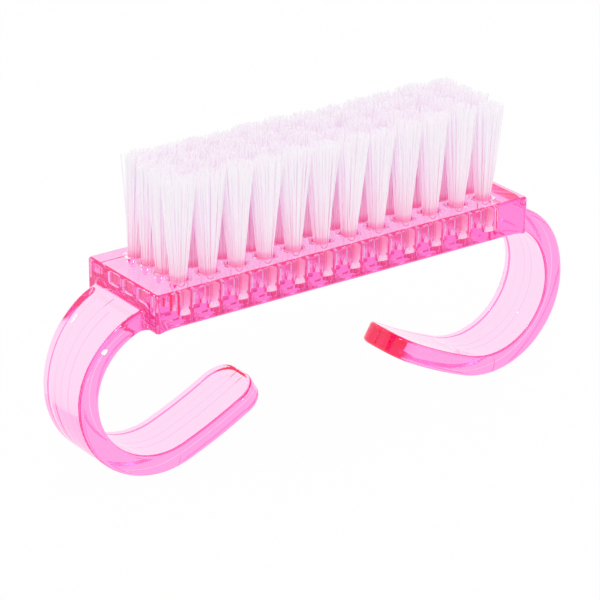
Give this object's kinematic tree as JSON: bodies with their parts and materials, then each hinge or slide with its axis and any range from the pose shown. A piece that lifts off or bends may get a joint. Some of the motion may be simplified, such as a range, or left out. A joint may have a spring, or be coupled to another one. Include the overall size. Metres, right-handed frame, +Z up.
{
  "type": "nail brush",
  "caption": "Hand nail brush: a clear pink moulded bar with a finger loop curling under each end, set with rows of upright white nylon bristle tufts.",
  "frame": {"origin": "middle of the footprint, on the surface that the two loops stand on", "axes": "+X along the bar, +Y across it towards the back, +Z up towards the bristle tips"},
  "size_m": [0.0654, 0.0138, 0.0342],
  "materials": {
    "clear_pink_plastic": "clear pink-tinted polystyrene, glossy from the mould",
    "nylon_filament": "natural white nylon filaments, slightly translucent",
    "anchor_wire": "flat drawn wire, bare"
  },
  "bodies": {
    "root": {"clear_body": "clear_pink_plastic", "tuft_r1_c01": "nylon_filament", "tuft_r1_c02": "nylon_filament", "tuft_r1_c03": "nylon_filament", "tuft_r1_c04": "nylon_filament", "tuft_r1_c05": "nylon_filament", "tuft_r1_c06": "nylon_filament", "tuft_r1_c07": "nylon_filament", "tuft_r1_c08": "nylon_filament", "tuft_r1_c09": "nylon_filament", "tuft_r1_c10": "nylon_filament", "tuft_r1_c11": "nylon_filament", "tuft_r1_c12": "nylon_filament", "tuft_r2_c01": "nylon_filament", "tuft_r2_c02": "nylon_filament", "tuft_r2_c03": "nylon_filament", "tuft_r2_c04": "nylon_filament", "tuft_r2_c05": "nylon_filament", "tuft_r2_c06": "nylon_filament", "tuft_r2_c07": "nylon_filament", "tuft_r2_c08": "nylon_filament", "tuft_r2_c09": "nylon_filament", "tuft_r2_c10": "nylon_filament", "tuft_r2_c11": "nylon_filament", "tuft_r2_c12": "nylon_filament", "tuft_r3_c01": "nylon_filament", "tuft_r3_c02": "nylon_filament", "tuft_r3_c03": "nylon_filament", "tuft_r3_c04": "nylon_filament", "tuft_r3_c05": "nylon_filament", "tuft_r3_c06": "nylon_filament", "tuft_r3_c07": "nylon_filament", "tuft_r3_c08": "nylon_filament", "tuft_r3_c09": "nylon_filament", "tuft_r3_c10": "nylon_filament", "tuft_r3_c11": "nylon_filament", "tuft_r3_c12": "nylon_filament", "tuft_r4_c01": "nylon_filament", "tuft_r4_c02": "nylon_filament", "tuft_r4_c03": "nylon_filament", "tuft_r4_c04": "nylon_filament", "tuft_r4_c05": "nylon_filament", "tuft_r4_c06": "nylon_filament", "tuft_r4_c07": "nylon_filament", "tuft_r4_c08": "nylon_filament", "tuft_r4_c09": "nylon_filament", "tuft_r4_c10": "nylon_filament", "tuft_r4_c11": "nylon_filament", "tuft_r4_c12": "nylon_filament", "anchors_row_1": "anchor_wire", "anchors_row_2": "anchor_wire", "anchors_row_3": "anchor_wire", "anchors_row_4": "anchor_wire"}
  },
  "joints": []
}
